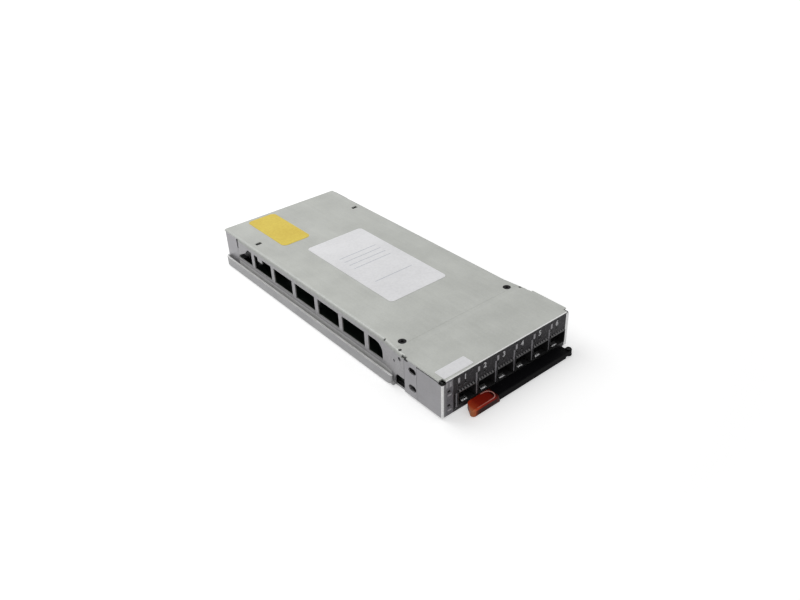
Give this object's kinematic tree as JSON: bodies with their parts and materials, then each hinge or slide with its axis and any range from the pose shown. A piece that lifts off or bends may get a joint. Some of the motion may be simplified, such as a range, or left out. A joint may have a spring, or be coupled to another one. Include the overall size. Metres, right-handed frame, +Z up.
{
  "type": "pass-through module",
  "caption": "Flat sheet-metal pass-through module for an equipment bay, with a row of transceiver ports, side vent windows, guide lips and a swinging ejector handle.",
  "frame": {"origin": "centre of the base of the overall box with the handle closed, at the underside of the tray", "axes": "+Z up, +Y from the port face to the rear connectors, +X to the right as seen from the ports"},
  "size_m": [0.116, 0.2708, 0.0286],
  "materials": {
    "cover_steel": "satin zinc-coated sheet",
    "tray_steel": "satin zinc-coated sheet",
    "chassis_steel": "satin zinc-coated sheet",
    "face_paint": "fine satin paint",
    "cage_steel": "tin-plated, satin",
    "board_mask": "dark solder mask",
    "connector_plastic": "moulded, matt",
    "clear_plastic": "clear, polished",
    "lamp_plastic": "clear lens",
    "chip_resin": "moulded resin, matt",
    "sink_aluminium": "black anodised",
    "can_aluminium": "satin can",
    "guide_metal": "cast, satin",
    "standoff_brass": "turned, satin",
    "zinc_steel": "zinc-plated, satin",
    "black_screw": "black, satin",
    "handle_black": "moulded, satin black",
    "touch_orange": "moulded, satin terracotta",
    "white_paper": "coated label, satin",
    "yellow_paper": "coated label, satin"
  },
  "bodies": {
    "module": {"bottom_tray": "tray_steel", "front_chassis": "chassis_steel", "faceplate": "face_paint", "top_cover": "cover_steel", "rear_cap": "chassis_steel", "main_board": "board_mask", "port_connectors": "connector_plastic", "port_light_pipes": "clear_plastic", "status_light_pipes": "clear_plastic", "board_lamps": "lamp_plastic", "signal_chips": "chip_resin", "heat_sinks": "sink_aluminium", "capacitors": "can_aluminium", "backplane_connector": "connector_plastic", "guide_sockets": "guide_metal", "board_standoffs": "standoff_brass", "board_screws": "zinc_steel", "cover_nuts": "zinc_steel", "cover_screws": "black_screw", "tray_rivets": "zinc_steel", "pivot_bracket": "black_screw", "bracket_rivets": "zinc_steel", "pivot_pin": "black_screw", "main_label": "white_paper", "yellow_label": "yellow_paper", "small_label": "white_paper", "port_cage_1": "cage_steel", "port_cage_2": "cage_steel", "port_cage_3": "cage_steel", "port_cage_4": "cage_steel", "port_cage_5": "cage_steel", "port_cage_6": "cage_steel"},
    "handle": {"ejector_handle": "handle_black", "touch_tab": "touch_orange"}
  },
  "joints": [
    {"name": "handle_swing", "type": "hinge", "parent": "module", "child": "handle", "pos_m": [0.0486, -0.13235, 0.0033], "axis": [0, 0, 1], "range_deg": [0, 85]}
  ]
}
